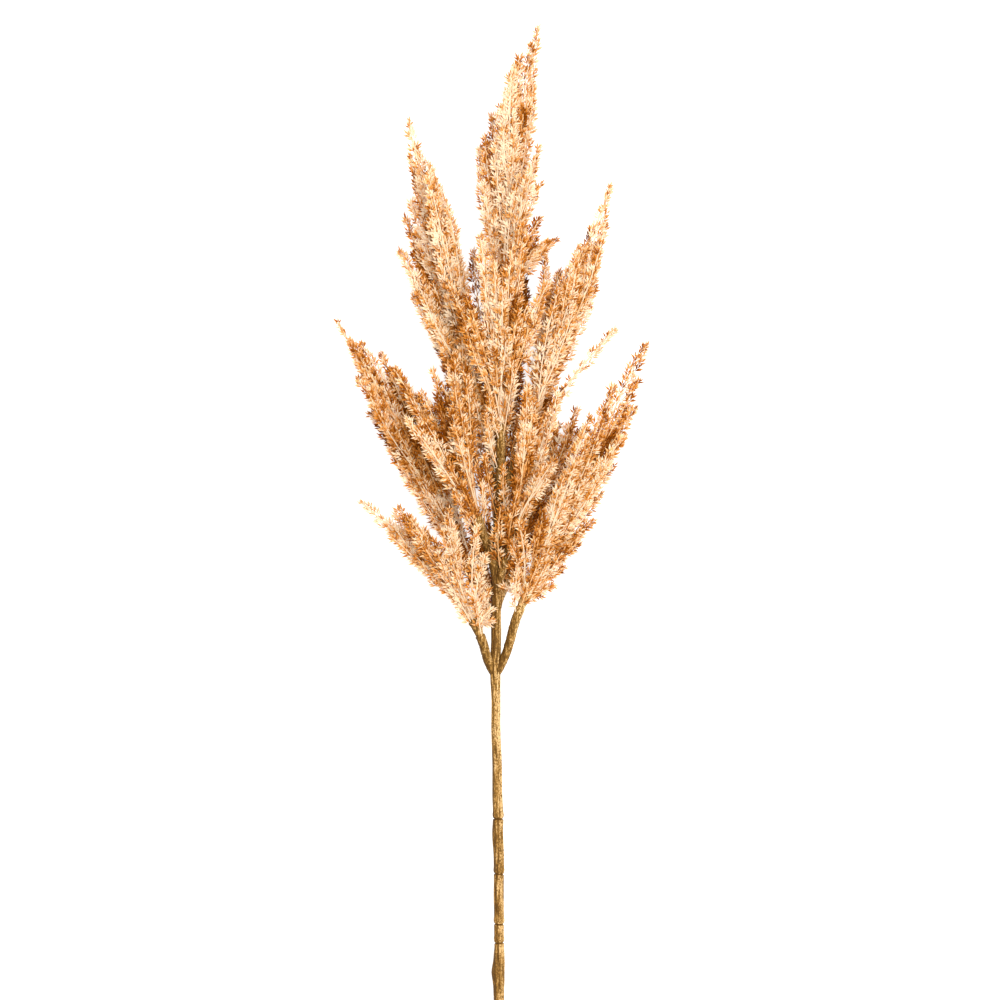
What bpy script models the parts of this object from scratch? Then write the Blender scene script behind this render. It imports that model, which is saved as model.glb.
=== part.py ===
"""A pampas grass plume, cut and laid down: one knuckled stem with side branches, and a head of
feathery fronds in the open end of each. Metres, +Z up. The stem lies along Y with its tip at +Y,
and the plume rests on the surface z = 0 on its cut end and on the lowest fronds."""

import math
import random

import bmesh
import bpy
from mathutils import Quaternion, Vector
from mathutils.kdtree import KDTree

# The stem: its route over the surface, and its girth along the way.
CUT_END_Y = -0.497
STEM_TOP_Y = 0.204
STEM_CUT_Z = 0.0044  # less than the girth there, so the cut end bears on a small flat spot
STEM_RISE = 0.094  # the slope at which the fronds under it hold it up
STEM_SIDEWAYS = ((-0.497, 0.0090), (-0.300, 0.0078), (-0.150, 0.0045), (0.000, 0.0080), (0.204, 0.0095))
STEM_STEP = 0.090
STEM_SIDES_RESOLUTION = 3
STEM_GIRTHS = (
    (-0.497, 0.0050),
    (-0.472, 0.0054),
    (-0.455, 0.0066),  # the knobbly knuckle
    (-0.440, 0.0056),
    (-0.430, 0.0049),
    (-0.300, 0.0052),
    (-0.270, 0.0050),
    (-0.180, 0.0044),
    (-0.150, 0.0052),  # the fork, where the two lowest branches leave
    (-0.120, 0.0050),
    (0.204, 0.0046),
)
RING_PLACES = (-0.425, -0.406, -0.355, -0.299)
RING_HALF_WIDTH = 0.0014
RING_DEPTH = 0.0010

# The branches and the sockets in their ends.
BRANCH_RADIUS = 0.0043
BRANCH_FOOT_SHARE = 0.92  # how thick a branch is where it leaves the stem, against its end
BRANCH_STEPS = 4
ELBOW_REACH = 0.2  # how far a branch runs on before it turns, as a share of its reach
SOCKET_PULL = 0.4  # how far from its end a branch already points along its socket
BRANCH_SIDES_RESOLUTION = 1
CORE_SIDES_RESOLUTION = 2
SOCKET_RADIUS = 0.0027
SOCKET_DEPTH = 0.0080
HOLE_OVERSHOOT = 0.0100
FIT_GAP = 0.0003
FUNNEL_LENGTH = 0.020
FUNNEL_RADIUS = 0.0058

# The fronds: a three-sided rachis that carries pairs of four-pointed florets.
RACHIS_ROOT = 0.00150
RACHIS_TIP = 0.00050
KNOT_LENGTH = 0.0030
KNOT_TWIST = math.radians(35)
SPACING_ROOT = 0.0570
SPACING_TIP = 0.0165
FLORET_ROOT = 0.0310
FLORET_TIP = 0.0125
FLORET_VARIETY = (0.88, 1.10)
STUB_SHARE = 0.34
STUB_TAPER = 1.4
FLORET_LEAN = math.radians(40)
PRONG_SPREAD = math.radians(38)
SIDE_PRONG_SHARE = 0.90
PRONG_RADIUS = 0.0011
FLORET_TRIES = ((1.0, 0.0), (1.0, -0.25), (1.0, 0.25), (0.72, 0.0), (0.72, -0.3), (0.55, 0.0))
WEB_SHARES = (0.4, 0.7, 1.0)  # where along the stub the rule feels the web to a side prong
RACHIS_SIDES = 3
FIRST_KNOT = 3
MOST_TURN = 0.95
WELD = 1e-7
CAP_WELD = 1e-6
SEED = 100
BARE_TIP = 0.0085
BARE_SHARE = 0.16
ROOT_SPREAD = 0.0016
BELLY_STRAIGHTNESS = 0.6
BEND = 0.007
BENDS = (
    *((0, 0), (0, 1), (0, -1), (1, 0), (-1, 0), (0, 2), (0, -2)),
    *((2, 0), (-2, 0), (2, 2), (-2, 2), (2, -2), (-2, -2)),
)
ROUTE_ROOM = 0.0012
CLEARANCE = 0.0008
SAMPLE_STEP = 0.0020
ROUTE_STEPS = 200
SURFACE_KEEP = 0.0006
SINK_SHARE = 0.45  # how high a rachis that lies on the surface has its middle, in its own radii
EASE_STIFFNESS = 320.0  # how tightly a rachis that would sink is eased up
MOST_EXPONENT = 60.0
ROOT_DEPTH_SHARE = 0.35  # where in the funnel the rachises start
FIRST_RING_SHARE = 0.8  # where in the funnel each has its second ring
SMOOTH_ANGLE = math.radians(40)
BLOCK_SIDE = 2.0

# Each head: where its socket is, which way it points, where its branch leaves the stem (the top
# head sits on the stem's own end), how far the branch swings out first, and its fronds' tips.
HEADS = {
    "top": {
        "socket": (0.0095, 0.204, 0.0703),
        "axis": (0.06, 1.0, 0.09),
        "leaves": None,
        "tips": (
            (0.0470, 0.491, 0.084),
            (0.0205, 0.446, 0.104),
            (0.0015, 0.404, 0.062),
            (0.0475, 0.370, 0.106),
            (-0.0075, 0.335, 0.088),
            (0.0635, 0.282, 0.060),
            (0.0330, 0.410, 0.040),
        ),
    },
    "upper_left": {
        "socket": (-0.0025, 0.084, 0.0700),
        "axis": (-0.28, 1.0, 0.14),
        "leaves": 0.030,
        "tips": (
            (-0.0815, 0.397, 0.092),
            (-0.0605, 0.342, 0.120),
            (-0.0845, 0.301, 0.072),
            (-0.0885, 0.266, 0.106),
            (-0.0475, 0.306, 0.084),
            (-0.0765, 0.222, 0.090),
        ),
    },
    "upper_right": {
        "socket": (0.0245, 0.059, 0.0640),
        "axis": (0.50, 1.0, 0.12),
        "leaves": 0.005,
        "tips": (
            (0.1185, 0.333, 0.080),
            (0.0865, 0.272, 0.108),
            (0.1085, 0.268, 0.056),
            (0.0675, 0.248, 0.066),
            (0.1225, 0.191, 0.098),
            (0.0740, 0.204, 0.032),
        ),
    },
    "front": {
        "socket": (0.0105, 0.080, 0.0800),
        "axis": (0.02, 1.0, 0.35),
        "leaves": -0.010,
        "tips": (
            (-0.0100, 0.280, 0.142),
            (0.0330, 0.290, 0.134),
            (-0.0420, 0.235, 0.138),
            (0.0560, 0.235, 0.130),
            (0.0120, 0.225, 0.138),
        ),
    },
    "under": {
        "socket": (0.0050, -0.045, 0.0260),
        "axis": (0.02, 1.0, -0.12),
        "leaves": -0.100,
        "tips": (
            (-0.0180, 0.270, 0.000),
            (0.0380, 0.285, 0.000),
            (-0.0600, 0.205, 0.004),
            (0.0800, 0.180, 0.002),
        ),
    },
    "mid_left": {
        "socket": (-0.0075, -0.011, 0.0640),
        "axis": (-0.35, 1.0, 0.30),
        "leaves": -0.065,
        "tips": (
            (-0.0565, 0.148, 0.090),
            (-0.0945, 0.150, 0.070),
            (-0.0350, 0.135, 0.118),
            (-0.0820, 0.100, 0.108),
            (-0.0280, 0.200, 0.098),
        ),
    },
    "mid_right": {
        "socket": (0.0200, -0.020, 0.0660),
        "axis": (0.30, 1.0, 0.35),
        "leaves": -0.075,
        "tips": (
            (0.0360, 0.130, 0.122),
            (0.0660, 0.125, 0.100),
            (0.0620, 0.060, 0.118),
        ),
    },
    "left": {
        "socket": (-0.0075, -0.076, 0.0330),
        "axis": (-0.35, 1.0, -0.02),
        "leaves": -0.108,
        "tips": (
            (-0.1525, 0.199, 0.050),
            (-0.1095, 0.167, 0.028),
            (-0.1315, 0.142, 0.070),
            (-0.1200, 0.108, 0.008),
            (-0.0995, 0.069, 0.052),
            (-0.0735, 0.034, -0.002),
            (-0.0580, 0.085, 0.044),
        ),
    },
    "right_back": {
        "socket": (0.0185, -0.052, 0.0330),
        "axis": (0.30, 1.0, -0.10),
        "leaves": -0.088,
        "tips": (
            (0.0865, 0.112, 0.030),
            (0.0540, 0.120, 0.000),
            (0.1050, 0.075, 0.000),
        ),
    },
    "lower_left": {
        "socket": (-0.0105, -0.114, 0.0500),
        "axis": (-0.45, 1.0, 0.20),
        "leaves": -0.153,
        "elbow": (-0.0080, 0.0, 0.0),
        "tips": (
            (-0.1285, 0.019, 0.056),
            (-0.0905, 0.012, 0.088),
            (-0.0635, -0.040, 0.040),
            (-0.0420, 0.010, 0.098),
            (-0.0380, -0.040, 0.080),
        ),
    },
    "lower_right": {
        "socket": (0.0300, -0.086, 0.0540),
        "axis": (0.45, 1.0, 0.14),
        "leaves": -0.153,
        "elbow": (0.0130, 0.0, 0.0),
        "tips": (
            (0.1535, 0.175, 0.060),
            (0.1215, 0.133, 0.096),
            (0.1385, 0.114, 0.030),
            (0.1295, 0.082, 0.080),
            (0.1010, 0.000, 0.040),
            (0.0850, 0.060, 0.106),
            (0.0520, 0.010, 0.090),
        ),
    },
}

# Colours, roughness.
STEM_FINISH = ((0.52, 0.36, 0.17, 1.0), 0.6)
FROND_FINISH = ((0.80, 0.47, 0.22, 1.0), 0.7)


def clear_scene():
    """Removes whatever the file holds."""
    for obj in list(bpy.data.objects):
        bpy.data.objects.remove(obj, do_unlink=True)


def collection_of(name):
    """A new collection in the scene."""
    made = bpy.data.collections.new(name)
    bpy.context.scene.collection.children.link(made)
    return made


def material_of(name, finish):
    """A Principled material of one colour and roughness."""
    colour, roughness = finish
    made = bpy.data.materials.new(name)
    made.use_nodes = True
    made.diffuse_color = colour
    shader = made.node_tree.nodes["Principled BSDF"]
    shader.inputs["Base Color"].default_value = colour
    shader.inputs["Roughness"].default_value = roughness
    return made


def between(pairs, at):
    """The value at a place along (place, value) pairs, on straight lines between them."""
    for (low, first), (high, second) in zip(pairs, pairs[1:]):
        if at <= high:
            return first + (second - first) * max(0.0, at - low) / (high - low)
    return pairs[-1][1]


def stem_point(y):
    """The middle of the stem at this y."""
    return Vector((between(STEM_SIDEWAYS, y), y, STEM_CUT_Z + STEM_RISE * (y - CUT_END_Y)))


def stem_rings():
    """(centre, radius) down the stem: even steps, each change of girth, and the grooves."""
    count = round((STEM_TOP_Y - CUT_END_Y) / STEM_STEP)
    places = {CUT_END_Y + (STEM_TOP_Y - CUT_END_Y) * i / count for i in range(count + 1)}
    places |= {y for y, _ in STEM_GIRTHS}
    for ring in RING_PLACES:
        places = {y for y in places if abs(y - ring) > 2 * RING_HALF_WIDTH}
        places |= {ring - RING_HALF_WIDTH, ring, ring + RING_HALF_WIDTH}
    kept = []
    for y in sorted(places):
        if not kept or y - kept[-1] > RING_HALF_WIDTH * 0.9:
            kept.append(y)
    return [
        (stem_point(y), between(STEM_GIRTHS, y) - (RING_DEPTH if y in RING_PLACES else 0.0))
        for y in kept
    ]


def bezier(points, t):
    """A point on the Bezier curve through the first and last of these points."""
    while len(points) > 1:
        points = [a.lerp(b, t) for a, b in zip(points, points[1:])]
    return points[0]


def branch_rings(head):
    """(centre, radius) along the branch that carries a head, from inside the stem to the socket."""
    start = stem_point(head["leaves"])
    end = Vector(head["socket"])
    axis = Vector(head["axis"]).normalized()
    reach = (end - start).length
    along = (stem_point(head["leaves"] + 0.01) - start).normalized()
    elbow = start + (along + (end - start).normalized()) * reach * ELBOW_REACH
    elbow += Vector(head.get("elbow", (0, 0, 0)))
    control = [start, elbow, end - axis * reach * SOCKET_PULL, end]
    rings = []
    for step in range(BRANCH_STEPS + 1):
        share = step / BRANCH_STEPS
        girth = BRANCH_FOOT_SHARE + (1 - BRANCH_FOOT_SHARE) * share
        rings.append((bezier(control, share), BRANCH_RADIUS * girth))
    return rings


def tube(name, rings, resolution, target):
    """A closed tube through these rings, as a mesh object with its caps welded."""
    curve = bpy.data.curves.new("guide", "CURVE")
    curve.dimensions = "3D"
    curve.bevel_depth = 1.0
    curve.bevel_resolution = resolution
    curve.use_fill_caps = True
    spline = curve.splines.new("POLY")
    spline.points.add(len(rings) - 1)
    for point, (centre, radius) in zip(spline.points, rings):
        point.co = (*centre, 1.0)
        point.radius = radius
    guide = bpy.data.objects.new("guide", curve)
    target.objects.link(guide)
    bpy.context.view_layer.update()
    mesh = bpy.data.meshes.new_from_object(guide.evaluated_get(bpy.context.evaluated_depsgraph_get()))
    shape = bmesh.new()
    shape.from_mesh(mesh)
    bmesh.ops.remove_doubles(shape, verts=shape.verts, dist=CAP_WELD)
    bmesh.ops.recalc_face_normals(shape, faces=shape.faces)
    shape.to_mesh(mesh)
    shape.free()
    made = bpy.data.objects.new(name, mesh)
    made.matrix_world = guide.matrix_world
    target.objects.link(made)
    bpy.data.objects.remove(guide, do_unlink=True)
    return made


def fuse(obj, others, operation="UNION"):
    """Joins a collection's objects into obj, or cuts them out of it, and removes them."""
    modifier = obj.modifiers.new("fuse", "BOOLEAN")
    modifier.operation = operation
    modifier.operand_type = "COLLECTION"
    modifier.collection = others
    modifier.solver = "MANIFOLD"
    bpy.context.view_layer.update()
    mesh = bpy.data.meshes.new_from_object(obj.evaluated_get(bpy.context.evaluated_depsgraph_get()))
    obj.modifiers.clear()
    obj.data = mesh
    for other in list(others.objects):
        bpy.data.objects.remove(other, do_unlink=True)
    bpy.data.collections.remove(others)


def keep_one_body(obj):
    """Fills what fusing sealed off inside, and drops loose scrap: only the outer body stays."""
    shape = bmesh.new()
    shape.from_mesh(obj.data)
    waiting = set(shape.faces)
    bodies = []
    while waiting:
        reached = [waiting.pop()]
        for face in reached:
            for edge in face.edges:
                for other in edge.link_faces:
                    if other in waiting:
                        waiting.discard(other)
                        reached.append(other)
        bodies.append(reached)
    bodies.sort(key=len)
    for scrap in bodies[:-1]:
        bmesh.ops.delete(shape, geom=scrap, context="FACES")
    shape.to_mesh(obj.data)
    shape.free()


def frond_route(head, number, bend):
    """The control points of a frond's rachis: out of the funnel, along the head, over to its tip."""
    axis = Vector(head["axis"]).normalized()
    tip = Vector(head["tips"][number])
    turn = 2 * math.pi * number / len(head["tips"])
    side = axis.orthogonal().normalized()
    across = axis.cross(side)
    root = Vector(head["socket"]) + axis * FUNNEL_LENGTH * ROOT_DEPTH_SHARE
    root += (side * math.cos(turn) + across * math.sin(turn)) * ROOT_SPREAD
    reach = (tip - root).length
    heading = (tip - root).normalized()
    belly = root + axis.lerp(heading, BELLY_STRAIGHTNESS).normalized() * reach / 2
    return [root, belly + Vector((bend[0], 0.0, bend[1])) * BEND, tip]


def above_surface(point, radius):
    """The point, eased up so that what would sink lies along the surface."""
    floor = SINK_SHARE * radius
    height = min(MOST_EXPONENT, EASE_STIFFNESS * (point.z - floor))
    return Vector((point.x, point.y, floor + math.log1p(math.exp(height)) / EASE_STIFFNESS))


def rachis_rings(head, number, bend=(0, 0)):
    """A frond's rings, (centre, radius, share of the way): two close together at each knot."""
    control = frond_route(head, number, bend)
    line = [bezier(control, i / ROUTE_STEPS) for i in range(ROUTE_STEPS + 1)]
    lengths = [(b - a).length for a, b in zip(line, line[1:])]
    length = sum(lengths)
    places = [length]
    knot = length - BARE_TIP
    while knot > max(FUNNEL_LENGTH + KNOT_LENGTH, BARE_SHARE * length):
        places += [knot, knot - KNOT_LENGTH]
        knot -= SPACING_ROOT + (SPACING_TIP - SPACING_ROOT) * knot / length
    places += [FUNNEL_LENGTH * FIRST_RING_SHARE, 0.0]
    places.reverse()
    rings = []
    walked = 0.0
    index = 0
    for place in places:
        while index < ROUTE_STEPS - 1 and walked + lengths[index] < place:
            walked += lengths[index]
            index += 1
        centre = line[index].lerp(line[index + 1], min(1.0, (place - walked) / lengths[index]))
        radius = RACHIS_ROOT + (RACHIS_TIP - RACHIS_ROOT) * place / length
        rings.append((above_surface(centre, radius), radius, place / length))
    return rings


class Crowd:
    """What is already placed, as points with a radius, so that a new floret can keep clear of it."""

    def __init__(self):
        self.points = []
        self.tree = None
        self.widest = 0.0

    def add(self, start, end, radius, owner):
        count = max(1, math.ceil((end - start).length / SAMPLE_STEP))
        for i in range(count + 1):
            self.points.append((start.lerp(end, i / count), radius, owner))
        self.widest = max(self.widest, radius)

    def settle(self):
        self.tree = KDTree(len(self.points))
        for index, (point, _, _) in enumerate(self.points):
            self.tree.insert(point, index)
        self.tree.balance()

    def free(self, start, end, radius, own):
        """True if nothing but its own pieces is near this stretch."""
        count = max(1, math.ceil((end - start).length / SAMPLE_STEP))
        for i in range(count + 1):
            point = start.lerp(end, i / count)
            for _, index, distance in self.tree.find_range(point, self.widest + radius + CLEARANCE):
                _, other_radius, other_owner = self.points[index]
                if other_owner not in own and distance < other_radius + radius + CLEARANCE:
                    return False
        return True


def pushed(shape, face, centre, direction, scale, twist=0.0):
    """Extrudes a face to a new centre and heading, and returns (end face, side faces)."""
    before = set(shape.faces)
    end = bmesh.ops.extrude_discrete_faces(shape, faces=[face])["faces"][0]
    sides = [side for side in shape.faces if side not in before and side is not end]
    old = end.calc_center_median()
    turn = Quaternion(direction, twist) @ end.normal.rotation_difference(direction)
    for vertex in end.verts:
        offset = vertex.co - old
        offset.rotate(turn)
        vertex.co = centre + offset * scale
    end.normal_update()
    for side in sides:
        side.normal_update()
    return end, sides


def pointed(shape, face, tip):
    """Raises a face to a point."""
    apex = bmesh.ops.poke(shape, faces=[face])["verts"][0]
    apex.co = tip


def kept_up(start, direction, reach):
    """The direction, turned up just enough that its far end stays over the surface."""
    lowest = (SURFACE_KEEP - start.z) / reach
    if direction.z >= lowest:
        return direction
    rise = max(-MOST_TURN, min(MOST_TURN, lowest))
    flat = Vector((direction.x, direction.y, 0.0)).normalized()
    return flat * math.sqrt(1 - rise * rise) + Vector((0.0, 0.0, rise))


def floret_plan(root, normal, along, length, crowd, own):
    """A floret's stub, headings, prong tips and stretches where it keeps clear, or None."""
    side = along.cross(normal).normalized()
    for shrink, tilt in FLORET_TRIES:
        lean = FLORET_LEAN + tilt
        reach = length * shrink
        heading = kept_up(root, normal * math.sin(lean) + along * math.cos(lean), reach)
        outward = normal * math.cos(lean) - along * math.sin(lean)
        stub = root + heading * reach * STUB_SHARE
        prong = reach * (1 - STUB_SHARE)
        tips = [stub + kept_up(stub, heading, prong) * prong]
        for spread in (side, -side, outward):
            slant = heading * math.cos(PRONG_SPREAD) + spread * math.sin(PRONG_SPREAD)
            tips.append(stub + kept_up(stub, slant, prong) * prong * SIDE_PRONG_SHARE)
        web = [root.lerp(stub, share) for share in WEB_SHARES]
        stretches = [(web[0], stub), (stub, tips[0])]
        stretches += [(start, tip) for tip in tips[1:] for start in web]
        if all(crowd.free(a, b, PRONG_RADIUS, own) for a, b in stretches):
            return stub, heading, (side, -side, outward), tips, stretches
    return None


def add_floret(shape, face, along, length, crowd, own):
    """Grows a pointed floret out of a face of the rachis, where there is room for one."""
    plan = floret_plan(face.calc_center_median(), face.normal.copy(), along, length, crowd, own)
    if plan is None:
        return []
    stub, heading, spreads, tips, stretches = plan
    end, sides = pushed(shape, face, stub, heading, STUB_TAPER)
    for spread, tip in zip(spreads, tips[1:]):
        chosen = max(sides, key=lambda candidate: candidate.normal.dot(spread))
        sides.remove(chosen)
        pointed(shape, chosen, tip)
    pointed(shape, end, tips[0])
    return stretches


def starting_ring(shape, first, radius, along):
    """The closed root end of a rachis: two triangles back to back, one of which is pushed on."""
    made = bmesh.ops.create_circle(shape, cap_ends=True, segments=RACHIS_SIDES, radius=radius)
    turn = Vector((0, 0, 1)).rotation_difference(along)
    for vertex in made["verts"]:
        vertex.co.rotate(turn)
        vertex.co += first
    end = shape.faces[:][0]
    end.normal_update()
    if end.normal.dot(along) < 0:
        bmesh.ops.reverse_faces(shape, faces=[end])
        end.normal_update()
    copied = bmesh.ops.duplicate(shape, geom=[end])["geom"]
    back = [item for item in copied if isinstance(item, bmesh.types.BMFace)]
    bmesh.ops.reverse_faces(shape, faces=back)
    return end


def frond(name, rings, crowd, own, target, rng):
    """One frond as a closed mesh: the rachis, pushed on ring by ring, and florets out of its knots."""
    shape = bmesh.new()
    end = starting_ring(shape, rings[0][0], rings[0][1], (rings[1][0] - rings[0][0]).normalized())
    knots = []
    for number in range(1, len(rings)):
        centre, radius, share = rings[number]
        following = rings[min(number + 1, len(rings) - 1)][0]
        heading = (following - rings[number - 1][0]).normalized()
        is_knot = FIRST_KNOT <= number < len(rings) - 1 and (number - FIRST_KNOT) % 2 == 0
        twist = 0.0 if is_knot else KNOT_TWIST
        end, sides = pushed(shape, end, centre, heading, radius / rings[number - 1][1], twist)
        if is_knot:
            knots.append((sides, heading, share))
    bmesh.ops.remove_doubles(shape, verts=shape.verts, dist=WELD)
    placed = []
    for number, (sides, heading, share) in enumerate(knots):
        bare = (number + rng.randrange(2)) % RACHIS_SIDES
        for index, face in enumerate(sides):
            if index != bare:
                length = FLORET_ROOT + (FLORET_TIP - FLORET_ROOT) * share
                length *= rng.uniform(*FLORET_VARIETY)
                placed += add_floret(shape, face, heading, length, crowd, own)
    for a, b in placed:
        crowd.add(a, b, PRONG_RADIUS, own[0])
    mesh = bpy.data.meshes.new(name)
    bmesh.ops.recalc_face_normals(shape, faces=shape.faces)
    shape.to_mesh(mesh)
    shape.free()
    made = bpy.data.objects.new(name, mesh)
    target.objects.link(made)
    return made


def turned_piece(name, head, target, radii):
    """A round piece on a head's axis, with these (place along it, radius) rings."""
    axis = Vector(head["axis"]).normalized()
    socket = Vector(head["socket"])
    rings = [(socket + axis * place, radius) for place, radius in radii]
    return tube(name, rings, CORE_SIDES_RESOLUTION, target)


# A head's core, as (place along the axis, radius): the plug in the socket, and the funnel that
# the fronds leave. The socket itself is a plain round hole.
PLUG_RADIUS = SOCKET_RADIUS - FIT_GAP
SHOULDER_STEP = 0.0002
CORE_RADII = (
    (-SOCKET_DEPTH + FIT_GAP, PLUG_RADIUS),
    (FIT_GAP, PLUG_RADIUS),
    (FIT_GAP + SHOULDER_STEP, 0.95 * BRANCH_RADIUS),
    (0.50 * FUNNEL_LENGTH, 1.10 * BRANCH_RADIUS),
    (0.85 * FUNNEL_LENGTH, FUNNEL_RADIUS),
    (FUNNEL_LENGTH, 0.60 * FUNNEL_RADIUS),
)
HOLE_RADII = ((-SOCKET_DEPTH, SOCKET_RADIUS), (HOLE_OVERSHOOT, SOCKET_RADIUS))


def build_stem(parts):
    """The stem with its branches grown on, and a socket in every end that carries a head."""
    stem = tube("stem", stem_rings(), STEM_SIDES_RESOLUTION, parts)
    branches = collection_of("branches")
    holes = collection_of("holes")
    for name, head in HEADS.items():
        if head["leaves"] is not None:
            tube("branch_" + name, branch_rings(head), BRANCH_SIDES_RESOLUTION, branches)
        turned_piece("hole_" + name, head, holes, HOLE_RADII)
    fuse(stem, branches)
    fuse(stem, holes, "DIFFERENCE")
    return stem


def press_flat(obj):
    """Cuts off what reaches under the surface that the plume lies on."""
    lowest = min(vertex.co.z for vertex in obj.data.vertices)
    if lowest >= 0:
        return
    cutters = collection_of("surface")
    bpy.ops.mesh.primitive_cube_add(size=BLOCK_SIDE, location=(0, 0, -BLOCK_SIDE / 2))
    block = bpy.context.active_object
    for owner in list(block.users_collection):
        owner.objects.unlink(block)
    cutters.objects.link(block)
    fuse(obj, cutters, "DIFFERENCE")


def crowd_of_stem():
    """The stem, its branches and the heads' cores, as what the fronds keep clear of."""
    crowd = Crowd()
    ways = [stem_rings()]
    for name, head in HEADS.items():
        if head["leaves"] is not None:
            ways.append(branch_rings(head))
        socket = Vector(head["socket"])
        top = socket + Vector(head["axis"]).normalized() * FUNNEL_LENGTH
        crowd.add(socket, top, FUNNEL_RADIUS, core_name(name))
    for way in ways:
        for (a, radius), (b, _) in zip(way, way[1:]):
            crowd.add(a, b, radius, "stem")
    return crowd


def core_name(name):
    """What the crowd calls a head's core."""
    return name + "_core"


def frond_name(name, number):
    """What the crowd calls a frond."""
    return f"{name}_{number}"


def bent_clear(crowd, head, number, own):
    """A rachis, bent until it passes the stem and the other heads' rachises clear."""
    for bend in BENDS:
        rings = rachis_rings(head, number, bend)
        pairs = zip(rings[1:], rings[2:])
        if all(crowd.free(a[0], b[0], a[1] + ROUTE_ROOM, own) for a, b in pairs):
            return rings
    raise RuntimeError(f"no clear way for frond {number} from {head['socket']}")


def all_routes(crowd):
    """Every head's rachises, each of which then is in the crowd too."""
    routes = {}
    for name, head in HEADS.items():
        count = len(head["tips"])
        own = [core_name(name)] + [frond_name(name, number) for number in range(count)]
        routes[name] = []
        for number in range(count):
            crowd.settle()
            rings = bent_clear(crowd, head, number, own)
            routes[name].append(rings)
            for a, b in zip(rings, rings[1:]):
                crowd.add(a[0], b[0], a[1], frond_name(name, number))
    return routes


def build_head(name, ways, crowd, parts, seed):
    """A head: its core with its fronds grown on."""
    fronds = collection_of("fronds")
    for number, way in enumerate(ways):
        own = [frond_name(name, number)]
        crowd.settle()
        frond("frond", way, crowd, own, fronds, random.Random(seed + number))
    core = turned_piece("head_" + name, HEADS[name], parts, CORE_RADII)
    fuse(core, fronds)
    press_flat(core)
    keep_one_body(core)
    return core


def dress(obj, finish):
    """Gives an object a material of its own."""
    obj.data.materials.clear()
    obj.data.materials.append(material_of(obj.name, finish))


def main():
    """Builds the stem, then the heads in order, each keeping clear of what is there."""
    clear_scene()
    parts = collection_of("pampas_grass_plume")
    stem = build_stem(parts)
    press_flat(stem)
    stem.data.shade_smooth()
    stem.data.set_sharp_from_angle(angle=SMOOTH_ANGLE)
    dress(stem, STEM_FINISH)
    crowd = crowd_of_stem()
    for order, (name, ways) in enumerate(all_routes(crowd).items()):
        dress(build_head(name, ways, crowd, parts, SEED * order), FROND_FINISH)


main()
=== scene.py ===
import math
import random

import bpy
import numpy as np
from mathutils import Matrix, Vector
from mathutils.kdtree import KDTree


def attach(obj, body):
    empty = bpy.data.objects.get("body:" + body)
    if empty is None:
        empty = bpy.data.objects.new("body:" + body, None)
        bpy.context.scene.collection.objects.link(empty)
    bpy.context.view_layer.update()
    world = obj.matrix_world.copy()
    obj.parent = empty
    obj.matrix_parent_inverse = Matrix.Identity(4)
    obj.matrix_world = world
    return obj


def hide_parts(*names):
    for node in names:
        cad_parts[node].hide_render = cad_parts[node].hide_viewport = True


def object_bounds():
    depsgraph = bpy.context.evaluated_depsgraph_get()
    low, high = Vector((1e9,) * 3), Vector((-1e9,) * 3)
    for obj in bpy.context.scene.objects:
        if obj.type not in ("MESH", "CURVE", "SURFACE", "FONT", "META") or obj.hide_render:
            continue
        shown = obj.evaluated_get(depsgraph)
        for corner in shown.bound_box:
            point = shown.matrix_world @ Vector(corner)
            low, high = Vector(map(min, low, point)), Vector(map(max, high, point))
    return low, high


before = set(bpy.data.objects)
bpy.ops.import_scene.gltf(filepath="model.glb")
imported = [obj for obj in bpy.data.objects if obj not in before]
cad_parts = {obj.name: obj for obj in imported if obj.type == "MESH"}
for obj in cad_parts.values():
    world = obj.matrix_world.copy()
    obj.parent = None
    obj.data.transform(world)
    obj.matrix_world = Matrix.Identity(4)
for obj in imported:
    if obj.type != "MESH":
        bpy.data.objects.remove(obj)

# The looks of the pampas grass plume. Metres, +Z up. Each head of fronds is grown again along the
# same routes as its solid, with far finer florets, and the stem gets its flutes, knobs and streaks.

CAD_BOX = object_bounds()
ROOT = "root"

# The stem: its route over the surface, and its girth along the way, as in the solids.
CUT_END_Y = -0.497
STEM_TOP_Y = 0.204
STEM_CUT_Z = 0.0044
STEM_RISE = 0.094
STEM_SIDEWAYS = ((-0.497, 0.0090), (-0.300, 0.0078), (-0.150, 0.0045), (0.000, 0.0080), (0.204, 0.0095))
STEM_GIRTHS = (
    (-0.497, 0.0050),
    (-0.472, 0.0054),
    (-0.455, 0.0066),
    (-0.440, 0.0056),
    (-0.430, 0.0049),
    (-0.300, 0.0052),
    (-0.270, 0.0050),
    (-0.180, 0.0044),
    (-0.150, 0.0052),
    (-0.120, 0.0050),
    (0.204, 0.0046),
)
RING_PLACES = (-0.425, -0.406, -0.355, -0.299)
RING_HALF_WIDTH = 0.0008
RING_DEPTH = 0.0012
RING_ROWS = 9
RING_REACH = 2.5  # half widths of a groove over which its rows are spread
STEM_SIDES = 32
STEM_PITCH = 0.0015
STEM_WAVER = 0.0005
STEM_WAVES = (3, 7, 12)
LIP_HEIGHT = 0.0005  # of the low lip past each ring groove
LIP_AWAY = 0.004
LIP_WIDTH = 0.002
FLUTE_COUNT = 7
FLUTE_DEPTH = 0.00030
FLUTE_DRIFT = 0.5
FLUTE_WAVES = (2, 5, 9)
KNOB_DEPTH = 0.00034
KNOBS_LEAST = 4
KNOB_RINGS = 14  # rings of the tube for each knob
KNOB_LENGTHS = (3.0, 9.0)  # in rings
KNOB_WIDTHS = (0.25, 0.60)  # in radians
KNOB_SIGNS = (1, 1, -0.7)  # two knobs in three stand out and the third is a dent
RELIEF_DEPTH = 0.0005
# painted shade and light: the hollows of the flutes and dents are painted darker, the ridges and knobs
# paler
RELIEF_SHADE_AND_LIGHT = 0.10
MIDDLE_TONE = 0.5
KNUCKLE_PLACE = -0.455
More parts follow.
